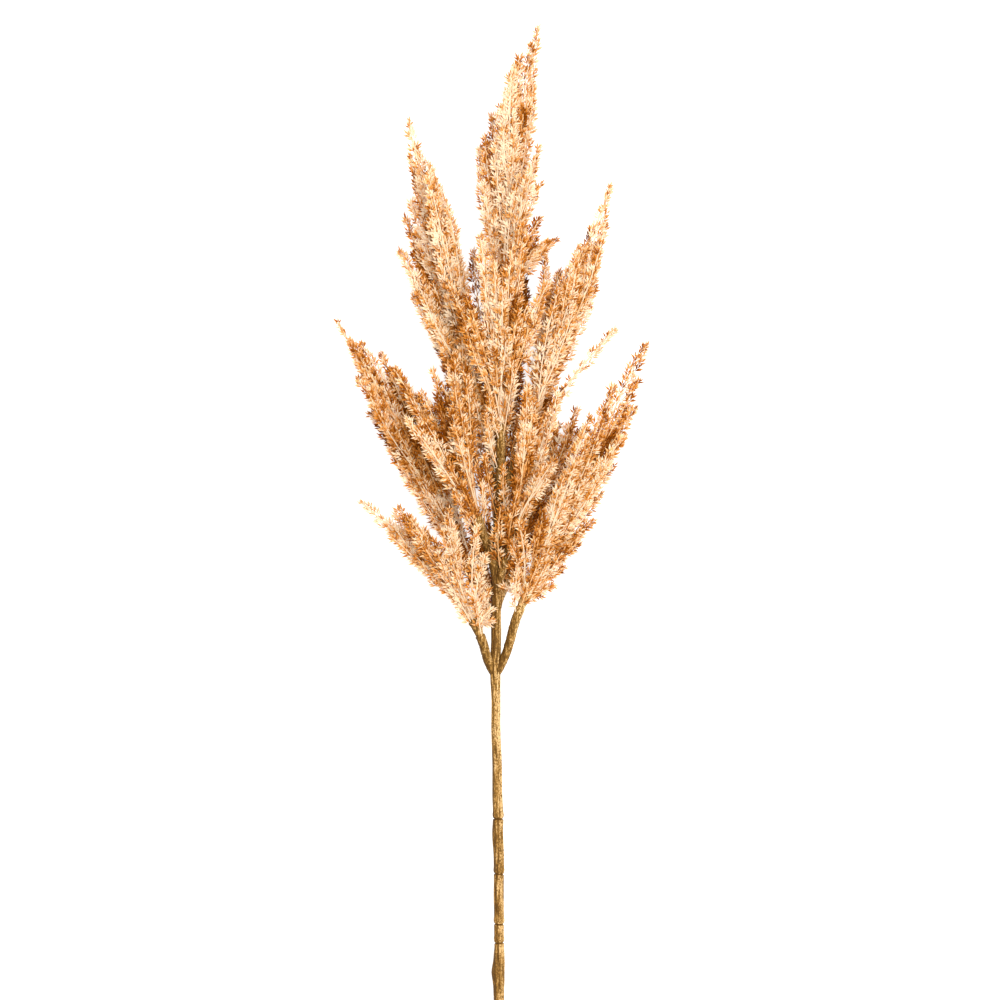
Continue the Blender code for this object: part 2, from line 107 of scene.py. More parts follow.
KNUCKLE_LENGTH = 0.008
KNUCKLE_SHIFT = 0.0009
SHADED_STEM = (-0.17, -0.09)  # between these the stem passes into the head's shade
STEM_SHADE = -0.22
RING_SHADE = -0.60

# The branches and the heads' cores.
BRANCH_RADIUS = 0.0043
BRANCH_SIDES = 20
BRANCH_RINGS = 50
BRANCH_RUN_UP = 0.01  # the stretch of stem whose direction a branch starts in
BRANCH_ELBOW = 0.2  # of a branch's reach
BRANCH_RUN_OUT = 0.4  # of a branch's reach
BRANCH_GIRTHS = (1.04, 1.08)  # at its foot and at its end, against BRANCH_RADIUS
BRANCH_LIP = 0.0003
BRANCH_LIP_WIDTH = 0.06
BRANCH_SHADE = ((0.0, -0.42), (0.55, -0.04))
FUNNEL_LENGTH = 0.020
FUNNEL_RADIUS = 0.0058
CORE = ((-0.0005, 0.0038), (0.0040, 0.0043), (0.0100, 0.0046), (0.0160, 0.0056), (0.0200, 0.0036))
CORE_SIDES = 18
CANE = 1  # the second material of a head, which its core has

# The routes of the fronds, as in the solids.
ROOT_SPREAD = 0.0016
ROOT_PLACE = 0.35  # of the funnel's length
BELLY_PLACE = 0.5
BELLY_STRAIGHTNESS = 0.6
BEND = 0.007
BENDS = (
    (0, 0), (0, 1), (0, -1), (1, 0), (-1, 0), (0, 2), (0, -2), (2, 0), (-2, 0),
    (2, 2), (-2, 2), (2, -2), (-2, -2),
)
RESTING_HEIGHT = 0.45  # of a rachis's radius
SURFACE_STIFFNESS = 320.0
STIFFNESS_MOST = 60.0  # past this the surface no longer lifts a route
START_SIDE = (0.3, 0.2, 0.93)  # no route runs this way, so it can turn any route's rings
STEM_SAMPLES = 60
BRANCH_SAMPLES = 8
ROUTE_ROOM = 0.0012
CLEARANCE = 0.0008
SAMPLE_STEP = 0.0020
ROUTE_STEPS = 36

# The fronds themselves.
RACHIS_ROOT = 0.00155
RACHIS_TIP = 0.00045
RACHIS_SIDES = 5
TWIG_GAP_TIP = 0.0017
TWIG_GAP_ROOT = 0.0060
TWIG_RANKS = math.radians(180)
TWIG_SCATTER = 0.60  # how far round the rachis a twig may stand from its rank
TWIG_LENGTH_TIP = 0.0036
TWIG_LENGTH_GROWTH = 0.130
TWIG_LENGTH_MOST = 0.0094
TWIG_LEAN_TIP = math.radians(26)
TWIG_LEAN_ROOT = math.radians(45)
TWIG_LEAN_JITTER = 0.14
TWIG_FIRST = 0.0012  # from the frond's tip
TWIG_TURN = 0.6
TWIG_SIZES = (0.50, 1.25)
GAP_SIZES = (0.8, 1.2)
GAP_SPREAD = 0.10  # from the tip to where the gaps are widest
LEAN_SPREAD = 0.08  # from the tip to where the twigs lean most
TWIG_CURL = 0.16
TWIG_RADIUS = 0.00045
TWIG_TAPER = 0.6
TWIG_SIDES = 3
SPIKELETS_LEAST = 3
SPIKELETS_MOST = 5
SPIKELETS_START = 2.6
SPIKELET_PITCH = 0.0036  # of twig, for each spikelet more
SPIKELET_FIRST = 0.45  # of the twig's length
SPIKELET_LENGTH = 0.0068
SPIKELET_WIDTH = 0.0020
SPIKELET_SIZES = (0.82, 1.18)
SPIKELET_SIZE_START = 0.66
SPIKELET_SIZE_RUN = 0.018  # of twig, for a spikelet that is longer by its whole length
SPIKELET_SIZE_LIMITS = (0.82, 1.05)
SPIKELET_WIDTH_LIMITS = (0.75, 1.10)
SPIKELET_SPREAD = math.radians(38)
SPIKELET_SPREADS = (0.8, 1.2)
SPIKELET_END_SPREAD = 0.06
SPIKELET_LIFT = 1.3
SPIKELET_BELLY = 0.38  # of its length
SPIKELET_SKEW = (0.9, 0.2)  # one edge lies a little in and a little low
SPIKELET_KEEL = 0.75  # against half its width
EXTRA_SHARE = 1.5  # in-between fronds for each one that the solids have
EXTRA_MIX = (0.15, 0.60)  # how far from one tip towards its neighbour
EXTRA_REACH = (0.50, 0.88)  # of the way from the socket
EXTRA_JITTER = 0.006
SHOOT_PITCH = 0.0155
SHOOT_STEPS = 12
SHOOT_JITTER = (0.1, 0.9)
SHOOT_TILT = 0.9  # how far a shoot may stand above or below its frond, in radians
SHOOT_LEAST = 0.004
SHOOT_GIRTH = 0.5
SHOOT_SIZES = (0.75, 0.95)
SHOOT_BARE = 0.003
SHOOT_TONE = 0.08
SHOOT_PLACES = (0.22, 0.68)
SHOOT_LONGEST = 0.115
SHOOT_ENDS = (0.70, 0.91)  # the share of its frond beyond which no shoot reaches
SHOOT_ANGLES = (math.radians(4), math.radians(9))
OUTER_SHARE = 0.45  # how much of that angle a shoot on a head's outer side keeps
SHOOT_CURL = math.radians(8)
BARE_FEET = (0.050, 0.095)
BARE_MOST = 0.42  # of a frond's length
COVER_FOOT = 0.006
FROND_SIZES = (0.92, 1.08)
EXTRA_SIZES = (0.78, 1.0)
COVER_SIZES = (0.9, 1.1)
LOW_SIZES = (0.7, 0.9)
SIDE_GIRTH = 0.8  # of in-between and covering fronds, against the main ones
BASE_SHOOTS = 5
BASE_SHOOT_LENGTHS = (0.040, 0.090)
BASE_SHOOT_LEAN = math.radians(22)
BASE_SHOOT_LEANS = (0.6, 1.1)
BASE_SHOOT_TURN = 0.3
BASE_SHOOT_PLACES = (0.0, 0.014)
BASE_SHOOT_AWAY = 0.0030
BASE_SHOOT_BEND = 1.4
BRANCH_SHOOT_PITCH = 0.013
BRANCH_SHOOT_FIRST = 0.15
BRANCH_SHOOT_STEP = 0.02
BRANCH_SHOOT_DEPTH = 0.7  # where its foot is, against BRANCH_RADIUS
BRANCH_SHOOT_BEND = 1.5
FLOOR_KEEP = 0.0003

# Tones, from 0 for dark to 1 for pale.
FROND_TONE = 0.72
# painted light: fronds that lie high are painted paler than the low ones
PAINTED_HEIGHT_LIGHT = 0.06
HIGH = 0.11  # the height at which a frond is painted that much paler, as painted light on the high fronds
FROND_TONES = 0.18
LONE_DIMMER = 0.14
LOW_DIMMER = 0.06
RACHIS_TONE = 0.04
TWIG_TONES = 0.27
TWIG_DIMMER = 0.15
ALONG_TONES = ((0.0, -0.22), (0.25, -0.20), (0.50, 0.0), (1.0, -0.02))  # from the tip down
SPIKELET_TONES = 0.42
CORNER_SHADING = (-0.40, -0.12, -0.12, 0.14, 0.04)  # foot, left, right, back, point: painted shade at the foot and edges, a painted highlight on the back ridge

# The shade that fronds cast on the colour of those below them.
CANOPY_CELL = 0.0036
CANOPY_MARGIN = 0.03
CANOPY_AMOUNT = 1.7  # twigs over a spot that shade it by about two thirds
CANOPY_SHADE = 0.56
CANOPY_BLURS = 12
SEED = 4100

# Each head, as in the solids: the end of its branch and which way that points, the y at which the
# branch leaves the stem, and the tips of its main fronds. "cover" holds the tips of fine fronds of
# which the solids have none, "lone" the numbers of the fronds without side shoots, "bare" the share
# of the branch without shoots, and "elbow" a shift of the branch's bend. "tone" is how much paler
# the head is than the others.
HEADS = {
    "top": {
        "tone": 0.04,
        "socket": (0.0095, 0.204, 0.0703),
        "axis": (0.06, 1.0, 0.09),
        "leaves": None,
        "tips": (
            (0.0470, 0.491, 0.084),
            (0.0205, 0.446, 0.104),
            (0.0015, 0.404, 0.062),
            (0.0475, 0.370, 0.106),
            (-0.0075, 0.335, 0.088),
            (0.0635, 0.282, 0.060),
            (0.0330, 0.410, 0.040),
        ),
        "cover": (
            (0.0485, 0.335, 0.078),
            (0.0490, 0.302, 0.072),
            (0.0455, 0.276, 0.068),
            (0.0400, 0.474, 0.086),
        ),
    },
    "upper_left": {
        "tone": 0.06,
        "socket": (-0.0025, 0.084, 0.0700),
        "axis": (-0.28, 1.0, 0.14),
        "leaves": 0.030,
        "tips": (
            (-0.0815, 0.397, 0.092),
            (-0.0605, 0.342, 0.120),
            (-0.0845, 0.301, 0.072),
            (-0.0885, 0.266, 0.106),
            (-0.0475, 0.306, 0.084),
            (-0.0765, 0.222, 0.090),
        ),
        "cover": (
            (-0.0740, 0.372, 0.090),
            (-0.0760, 0.348, 0.088),
            (-0.0785, 0.316, 0.082),
        ),
    },
    "upper_right": {
        "socket": (0.0245, 0.059, 0.0640),
        "axis": (0.50, 1.0, 0.12),
        "leaves": 0.005,
        "lone": (4,),
        "tips": (
            (0.1185, 0.333, 0.080),
            (0.0865, 0.272, 0.108),
            (0.1085, 0.268, 0.056),
            (0.0675, 0.248, 0.066),
            (0.1225, 0.191, 0.098),
            (0.0740, 0.204, 0.032),
        ),
        "cover": (
            (0.0545, 0.262, 0.060),
            (0.1010, 0.292, 0.066),
        ),
    },
    "front": {
        "tone": -0.03,
        "socket": (0.0105, 0.080, 0.0800),
        "axis": (0.02, 1.0, 0.35),
        "leaves": -0.010,
        "tips": (
            (-0.0100, 0.280, 0.142),
            (0.0330, 0.290, 0.134),
            (-0.0420, 0.235, 0.138),
            (0.0560, 0.235, 0.130),
            (0.0120, 0.225, 0.138),
        ),
    },
    "under": {
        "socket": (0.0050, -0.045, 0.0260),
        "axis": (0.02, 1.0, -0.12),
        "leaves": -0.100,
        "tips": (
            (-0.0180, 0.270, 0.000),
            (0.0380, 0.285, 0.000),
            (-0.0600, 0.205, 0.004),
            (0.0800, 0.180, 0.002),
        ),
    },
    "mid_left": {
        "tone": -0.11,
        "socket": (-0.0075, -0.011, 0.0640),
        "axis": (-0.35, 1.0, 0.30),
        "leaves": -0.065,
        "tips": (
            (-0.0565, 0.148, 0.090),
            (-0.0945, 0.150, 0.070),
            (-0.0350, 0.135, 0.118),
            (-0.0820, 0.100, 0.108),
            (-0.0280, 0.200, 0.098),
        ),
    },
    "mid_right": {
        "tone": -0.07,
        "socket": (0.0200, -0.020, 0.0660),
        "axis": (0.30, 1.0, 0.35),
        "leaves": -0.075,
        "tips": (
            (0.0360, 0.130, 0.122),
            (0.0660, 0.125, 0.100),
            (0.0620, 0.060, 0.118),
        ),
    },
    "left": {
        "tone": 0.03,
        "socket": (-0.0075, -0.076, 0.0330),
        "axis": (-0.35, 1.0, -0.02),
        "leaves": -0.108,
        "tips": (
            (-0.1525, 0.199, 0.050),
            (-0.1095, 0.167, 0.028),
            (-0.1315, 0.142, 0.070),
            (-0.1200, 0.108, 0.008),
            (-0.0995, 0.069, 0.052),
            (-0.0735, 0.034, -0.002),
            (-0.0580, 0.085, 0.044),
        ),
        "cover": (
            (-0.1400, 0.180, 0.050),
            (-0.1300, 0.166, 0.048),
        ),
    },
    "right_back": {
        "socket": (0.0185, -0.052, 0.0330),
        "axis": (0.30, 1.0, -0.10),
        "leaves": -0.088,
        "tips": (
            (0.0865, 0.112, 0.030),
            (0.0540, 0.120, 0.000),
            (0.1050, 0.075, 0.000),
        ),
        "cover": (
            (0.0900, 0.092, 0.030),
        ),
    },
    "lower_left": {
        "tone": 0.10,
        "socket": (-0.0105, -0.114, 0.0500),
        "axis": (-0.45, 1.0, 0.20),
        "leaves": -0.153,
        "bare": 0.90,
        "elbow": (-0.0080, 0.0, 0.0),
        "tips": (
            (-0.1285, 0.019, 0.056),
            (-0.0905, 0.012, 0.088),
            (-0.0635, -0.040, 0.040),
            (-0.0420, 0.010, 0.098),
            (-0.0380, -0.040, 0.080),
        ),
        "cover": (
            (-0.0130, -0.005, 0.094),
            (-0.0060, -0.035, 0.082),
            (-0.0020, -0.068, 0.066),
            (0.0000, -0.088, 0.060),
            (0.0015, -0.099, 0.058),
            (-0.0020, -0.103, 0.062),
        ),
    },
    "lower_right": {
        "socket": (0.0300, -0.086, 0.0540),
        "axis": (0.45, 1.0, 0.14),
        "leaves": -0.153,
        "bare": 0.90,
        "lone": (0,),
        "elbow": (0.0130, 0.0, 0.0),
        "tips": (
            (0.1535, 0.175, 0.060),
            (0.1215, 0.133, 0.096),
            (0.1385, 0.114, 0.030),
            (0.1295, 0.082, 0.080),
            (0.1010, 0.000, 0.040),
            (0.0850, 0.060, 0.106),
            (0.0520, 0.010, 0.090),
        ),
        "cover": (
            (0.0280, 0.000, 0.096),
            (0.0180, -0.020, 0.088),
            (0.0200, -0.045, 0.070),
            (0.0130, -0.066, 0.060),
            (0.1475, 0.140, 0.058),
            (0.1420, 0.112, 0.055),
            (0.1330, 0.085, 0.052),
            (0.1210, 0.055, 0.048),
            (0.1110, 0.028, 0.046),
            (0.0860, -0.022, 0.048),
            (0.0730, -0.046, 0.050),
            (0.0620, -0.064, 0.052),
            (0.0500, -0.074, 0.052),
        ),
    },
}

# Colours, as linear red, green and blue.
FROND_RAMP = (
    (0.00, (0.235, 0.060, 0.003)),
    (0.30, (0.540, 0.165, 0.012)),
    (0.55, (0.830, 0.360, 0.075)),
    (0.80, (0.970, 0.660, 0.330)),
    (1.00, (0.990, 0.870, 0.650)),
)
STEM_DARK = (0.085, 0.036, 0.004)
STEM_TAN = (0.330, 0.175, 0.040)
STEM_PALE = (0.720, 0.490, 0.230)
STEM_RAMP = ((0.22, STEM_DARK), (0.54, STEM_TAN), (0.92, STEM_PALE))
STEM_SPECKLE = tuple(0.40 * part for part in STEM_TAN)
PAINTED_TOP_HIGHLIGHT = 0.46  # painted highlight: how much paler a pale floret is painted where it faces up, as if lit from above
LIGHT_THROUGH = 0.30  # the share of the light that passes through a floret
PAINTED_SIDE_LIGHT = 0.24  # painted light: how much paler the stem is painted on its +X side, where the key light falls
FLOOR_COLOUR = (0.55, 0.55, 0.55)
FLOOR_CLOUD = tuple(0.985 * part for part in FLOOR_COLOUR)
STRAW_ROUGHNESS = 0.62
STRAW_GLOSS = 0.03
CANE_ROUGHNESS = (0.50, 0.30)  # its least, and how much the speckle adds
CANE_GLOSS = 0.12
CANE_BUMP = (0.5, 0.0006)  # strength, and depth in metres
FLOOR_ROUGHNESS = 0.9
DOT_RAMP = ((0.38, (0, 0, 0)), (0.50, (1, 1, 1)))

# Noise in the materials, as its scale, its stretch along X, Y and Z, and its detail.
STRAW_PATCHES = (60.0, (1, 1, 1), 3.0)
STRAW_GRAIN = (900.0, (1, 1, 1), 2.0)
CANE_STREAKS = (1.0, (520, 34, 520), 6.0)
CANE_SPECKLE = (900.0, (1, 0.6, 1), 3.0)
CANE_PATCHES = (16.0, (1, 1, 1), 2.0)
FLOOR_CLOUDS = (3.0, (1, 1, 1), 2.0)
PATCH_AMOUNT = 0.55
GRAIN_AMOUNT = 0.35
STREAK_AMOUNT = 1.9
THROUGH_DIMMER = 0.15  # light that comes through straw is this much darker in tone

# The studio.
FLOOR_SIDE = 14.0
FLOOR_GLOW = 0.80
VIEW_CENTRE = (0.0095, 0.0220)
VIEW_HEIGHT = 0.060
VIEW_WIDTH = 1.000
CAMERA_DISTANCE = 5.0
SENSOR_WIDTH = 36.0
WORLD_COLOUR = (1.0, 0.89, 0.74, 1.0)
WORLD_STRENGTH = 0.62
KEY_PLACE = (0.6, 0.3, 2.7)
KEY_SIZE = 2.2
KEY_POWER = 116.0
KEY_COLOUR = (1.0, 0.965, 0.92)


def between(pairs, at):
    """The value at a place along (place, value) pairs, on straight lines between them."""
    for (low, first), (high, second) in zip(pairs, pairs[1:]):
        if at <= high:
            return first + (second - first) * max(0.0, at - low) / (high - low)
    return pairs[-1][1]


def stem_point(y):
    """The middle of the stem at this y."""
    return Vector((between(STEM_SIDEWAYS, y), y, STEM_CUT_Z + STEM_RISE * (y - CUT_END_Y)))


def bezier(points, t):
    """A point on the Bezier curve through the first and last of these points."""
    while len(points) > 1:
        points = [a.lerp(b, t) for a, b in zip(points, points[1:])]
    return points[0]


def branch_control(head):
    """The control points of the branch that carries a head."""
    start = stem_point(head["leaves"])
    end = Vector(head["socket"])
    axis = Vector(head["axis"]).normalized()
    reach = (end - start).length
    along = (stem_point(head["leaves"] + BRANCH_RUN_UP) - start).normalized()
    elbow = start + (along + (end - start).normalized()) * reach * BRANCH_ELBOW
    elbow += Vector(head.get("elbow", (0, 0, 0)))
    return [start, elbow, end - axis * reach * BRANCH_RUN_OUT, end]


def above_surface(point, radius):
    """The point, eased up so that what would sink lies along the surface."""
    floor = RESTING_HEIGHT * radius
    over = SURFACE_STIFFNESS * (point.z - floor)
    lift = math.log1p(math.exp(min(STIFFNESS_MOST, over))) / SURFACE_STIFFNESS
    return Vector((point.x, point.y, floor + lift))


def laid(control, steps):
    """The Bezier curve as a line of points, kept above the surface."""
    return [above_surface(bezier(control, i / steps), RACHIS_ROOT) for i in range(steps + 1)]


def frond_line(head, tip, turn, bend=(0, 0)):
    """The line of a frond's rachis: out of the funnel, along the head, over to its tip."""
    axis = Vector(head["axis"]).normalized()
    side = axis.orthogonal().normalized()
    across = axis.cross(side)
    root = Vector(head["socket"]) + axis * FUNNEL_LENGTH * ROOT_PLACE
    root += (side * math.cos(turn) + across * math.sin(turn)) * ROOT_SPREAD
    reach = (tip - root).length
    heading = (tip - root).normalized()
    belly = root + axis.lerp(heading, BELLY_STRAIGHTNESS).normalized() * reach * BELLY_PLACE
    control = [root, belly + Vector((bend[0], 0.0, bend[1])) * BEND, tip]
    return laid(control, ROUTE_STEPS)


class Crowd:
    """What is already placed, as points with a radius, so that a frond can be bent clear of it."""

    def __init__(self):
        self.points = []
        self.tree = None

    def add(self, line, radius, owner):
        """Place a round form of this radius along a line."""
        for a, b in zip(line, line[1:]):
            count = max(1, math.ceil((b - a).length / SAMPLE_STEP))
            self.points += [(a.lerp(b, i / count), radius, owner) for i in range(count + 1)]

    def settle(self):
        """Get ready to be asked what is free, once everything so far is placed."""
        self.tree = KDTree(len(self.points))
        for index, (point, _, _) in enumerate(self.points):
            self.tree.insert(point, index)
        self.tree.balance()

    def free(self, line, radius, own):
        """True if nothing of another owner is near this line."""
        widest = max(radius for _, radius, _ in self.points)
        for point in line:
            for _, index, distance in self.tree.find_range(point, widest + radius + CLEARANCE):
                _, other, owner = self.points[index]
                if owner != own and distance < other + radius + CLEARANCE:
                    return False
        return True


def main_lines():
    """Every head's rachises, each bent until it passes the stem and the other heads' clear."""
    crowd = Crowd()
    length = STEM_TOP_Y - CUT_END_Y
    places = [CUT_END_Y + length * i / STEM_SAMPLES for i in range(STEM_SAMPLES + 1)]
    crowd.add([stem_point(y) for y in places], between(STEM_GIRTHS, 0.0), "stem")
    for name, head in HEADS.items():
        if head["leaves"] is not None:
            shares = [i / BRANCH_SAMPLES for i in range(BRANCH_SAMPLES + 1)]
            branch_line = [bezier(branch_control(head), share) for share in shares]
            crowd.add(branch_line, BRANCH_RADIUS, "stem")
        socket = Vector(head["socket"])
        funnel = Vector(head["axis"]).normalized() * FUNNEL_LENGTH
        crowd.add([socket, socket + funnel], FUNNEL_RADIUS, name)
    lines = {}
    for name, head in HEADS.items():
        lines[name] = []
        for number, tip in enumerate(head["tips"]):
            crowd.settle()
            turn = 2 * math.pi * number / len(head["tips"])
            for bend in BENDS:
                line = frond_line(head, Vector(tip), turn, bend)
                if crowd.free(line[ROUTE_STEPS // 10:], RACHIS_ROOT + ROUTE_ROOM, name):
                    break
            lines[name].append(line)
            crowd.add(line, RACHIS_ROOT, name)
    return lines


def extra_lines(head, rng):
    """In-between fronds: each ends between two neighbouring tips, a little short of them."""
    lone = head.get("lone", ())
    tips = [Vector(tip) for number, tip in enumerate(head["tips"]) if number not in lone]
    socket = Vector(head["socket"])
    lines = []
    for number in range(round(len(tips) * EXTRA_SHARE)):
        first = tips[number % len(tips)]
        others = sorted((tip for tip in tips if tip is not first), key=lambda tip: (tip - first).length)
        second = others[rng.randrange(2)]
        tip = first.lerp(second, rng.uniform(*EXTRA_MIX))
        tip = socket.lerp(tip, rng.uniform(*EXTRA_REACH))
        tip += Vector((rng.uniform(-1, 1), 0.0, rng.uniform(-1, 1))) * EXTRA_JITTER
        lines.append(frond_line(head, tip, rng.uniform(0, 2 * math.pi)))
    return lines


def curved(base, ahead, outward, first_angle, whole_angle, reach):
    """The line of a shoot, which starts at one angle to its bearer and ends at another."""
    first = ahead * math.cos(first_angle) + outward * math.sin(first_angle)
    whole = ahead * math.cos(whole_angle) + outward * math.sin(whole_angle)
    return laid([base, base + first * reach * BELLY_PLACE, base + whole * reach], SHOOT_STEPS)


def shoots_of(line, rng):
    """Side shoots up a frond, mostly to its left and right, curving back along it."""
    steps = [(b - a).length for a, b in zip(line, line[1:])]
    length = sum(steps)
    low, high = SHOOT_PLACES
    count = max(1, round((high - low) * length / SHOOT_PITCH))
    lines = []
    for number in range(count):
        share = low + (high - low) * (number + rng.uniform(*SHOOT_JITTER)) / count
        spot = share * (len(line) - 1)
        index = min(int(spot), len(line) - 2)
        base = line[index].lerp(line[index + 1], spot - index)
        tangent = (line[index + 1] - line[index]).normalized()
        side = tangent.cross(Vector((0.0, 0.0, 1.0))).normalized()
        up = side.cross(tangent)
        tilt = rng.uniform(-SHOOT_TILT, SHOOT_TILT)
        hand = 1 if number % 2 else -1
        outward = (side * math.cos(tilt) * hand + up * math.sin(tilt)).normalized()
        reach = min(SHOOT_LONGEST, (rng.uniform(*SHOOT_ENDS) - share) * length + SHOOT_LEAST)
        angle = rng.uniform(*SHOOT_ANGLES)
        if outward.x * line[-1].x > 0:
            angle *= OUTER_SHARE
        lines.append(curved(base, tangent, outward, angle + SHOOT_CURL, angle, reach))
    return lines


def base_shoots(head, rng):
    """Short fronds round the foot of a head, which hide where it joins its branch."""
    axis = Vector(head["axis"]).normalized()
    side = axis.orthogonal().normalized()
    across = axis.cross(side)
    lines = []
    for number in range(BASE_SHOOTS):
        turn = 2 * math.pi * number / BASE_SHOOTS + rng.uniform(-BASE_SHOOT_TURN, BASE_SHOOT_TURN)
        outward = side * math.cos(turn) + across * math.sin(turn)
        base = Vector(head["socket"]) + axis * rng.uniform(*BASE_SHOOT_PLACES)
        base += outward * BASE_SHOOT_AWAY
        reach = rng.uniform(*BASE_SHOOT_LENGTHS)
        lean = BASE_SHOOT_LEAN * rng.uniform(*BASE_SHOOT_LEANS)
        if outward.x * head["socket"][0] > 0:
            lean *= OUTER_SHARE
        lines.append(curved(base, axis, outward, lean * BASE_SHOOT_BEND, lean, reach))
    return lines


def branch_shoots(head, rng):
    """Fronds that leave a branch on its way to the head, which hide it among the rest."""
    control = branch_control(head)
    length = (control[-1] - control[0]).length
    first_share = head.get("bare", BRANCH_SHOOT_FIRST)
    count = round((1.0 - first_share) * length / BRANCH_SHOOT_PITCH)
    lines = []
    for number in range(count):
        share = first_share + (1.0 - first_share) * (number + rng.random()) / count
        base = bezier(control, share)
        ahead = bezier(control, min(1.0, share + BRANCH_SHOOT_STEP))
        tangent = (ahead - bezier(control, share - BRANCH_SHOOT_STEP)).normalized()
        side = tangent.cross(Vector((0.0, 0.0, 1.0))).normalized()
        up = side.cross(tangent)
        turn = rng.uniform(0, 2 * math.pi)
        outward = side * math.cos(turn) + up * math.sin(turn)
        base = base + outward * BRANCH_RADIUS * BRANCH_SHOOT_DEPTH
        lean = BASE_SHOOT_LEAN * rng.uniform(*BASE_SHOOT_LEANS)
        if outward.x * head["socket"][0] > 0:
            lean *= OUTER_SHARE
        reach = rng.uniform(*BASE_SHOOT_LENGTHS)
        lines.append(curved(base, tangent, outward, lean * BRANCH_SHOOT_BEND, lean, reach))
    return lines


class Canopy:
    """How much stands over each spot, counted in twigs, so that what lies below can be darker."""

    def __init__(self, twig_ends):
        self.low = np.array(CAD_BOX[0]) - CANOPY_MARGIN
        size = np.array(CAD_BOX[1]) + CANOPY_MARGIN - self.low
        counts = np.zeros(np.ceil(size / CANOPY_CELL).astype(int) + 1)
        self.last = np.array(counts.shape) - 1
        np.add.at(counts, self.cells(twig_ends), 1.0)
        for axis in (0, 1) * CANOPY_BLURS:
            counts = (np.roll(counts, 1, axis) + 2 * counts + np.roll(counts, -1, axis)) / 4
        from_top = np.cumsum(counts[:, :, ::-1], axis=2)[:, :, ::-1]
        self.above = from_top - counts / 2

    def cells(self, points):
        """The cell of the grid that each point is in, as one index for each axis."""
        found = ((points - self.low) / CANOPY_CELL).astype(int)
        return tuple(np.clip(found, 0, self.last).T)

    def shade(self, points):
        """How much darker these points are for what lies over them."""
        return CANOPY_SHADE * (np.exp(-self.above[self.cells(points)] / CANOPY_AMOUNT) - 1.0)


class Sheaf:
    """The points, triangles, tones and materials gathered for one piece."""

    def __init__(self):
        self.points = []
        self.faces = []
        self.tones = []
        self.coats = []
        self.count = 0

    def add(self, points, faces, tones, coat=0):
        """Gather some more triangles; coat is the number of their material."""
        self.points.append(points)
        self.faces.append(faces + self.count)
        self.tones.append(np.broadcast_to(tones, (len(points),)))
        self.coats.append(np.full(len(faces), coat))
        self.count += len(points)

    def piece(self, name, materials, smooth):
        """The gathered triangles as one object, carrying its tones."""
        points = np.concatenate(self.points)
        points[:, 2] = np.maximum(points[:, 2], FLOOR_KEEP)
        faces = np.concatenate(self.faces)
        mesh = bpy.data.meshes.new(name)
        mesh.vertices.add(len(points))
        mesh.vertices.foreach_set("co", points.ravel())
        mesh.loops.add(3 * len(faces))
        mesh.loops.foreach_set("vertex_index", faces.ravel())
        mesh.polygons.add(len(faces))
        mesh.polygons.foreach_set("loop_start", np.arange(0, 3 * len(faces), 3))
        mesh.polygons.foreach_set("use_smooth", np.full(len(faces), smooth))
        mesh.polygons.foreach_set("material_index", np.concatenate(self.coats))
        tone = mesh.attributes.new("tone", "FLOAT", "POINT")
        tone.data.foreach_set("value", np.concatenate(self.tones))
        mesh.update(calc_edges=True)
        mesh.validate()
        for material in materials:
            mesh.materials.append(material)
        made = bpy.data.objects.new(name, mesh)
        bpy.context.scene.collection.objects.link(made)
        return made


def within(limits, seeds):
    """Values between two limits, by seeds from 0 to 1."""
    low, high = limits
    return low + (high - low) * seeds


def unit(vectors):
    """Each vector at length one."""
    return vectors / np.maximum(np.linalg.norm(vectors, axis=-1, keepdims=True), 1e-12)


def frames(line):
    """(tangents, sides, ups) along a line, turned as little as possible from point to point."""
    tangents = unit(np.gradient(line, axis=0))
    side = np.cross(tangents[0], START_SIDE)
    sides = []
    for tangent in tangents:
        side = side - tangent * side.dot(tangent)
        side /= np.linalg.norm(side)
        sides.append(side)
    sides = np.array(sides)
    return tangents, sides, np.cross(tangents, sides)


def tube(line, radii, sides):
    """The points and triangles of a tube; radii is one for each ring, or one for each point."""
    _, across, up = frames(line)
    angles = np.arange(sides) * 2 * math.pi / sides
    radii = np.broadcast_to(np.reshape(radii, (len(line), -1)), (len(line), sides))
    ring = across[:, None] * np.cos(angles)[None, :, None]
    ring = ring + up[:, None] * np.sin(angles)[None, :, None]
    points = (line[:, None] + ring * radii[:, :, None]).reshape(-1, 3)
    points = np.concatenate([points, line[:1], line[-1:]])
    first, second = len(points) - 2, len(points) - 1
    index = np.arange(sides)
    following = (index + 1) % sides
    row = np.arange(len(line) - 1)[:, None] * sides
    a, b = row + index, row + following
    faces = [np.stack([a, b, b + sides], -1), np.stack([a, b + sides, a + sides], -1)]
    last = (len(line) - 1) * sides
    start_cap = np.stack([np.full(sides, first), following, index], -1)
    end_cap = np.stack([np.full(sides, second), last + index, last + following], -1)
    return points, np.concatenate([f.reshape(-1, 3) for f in faces] + [start_cap, end_cap])


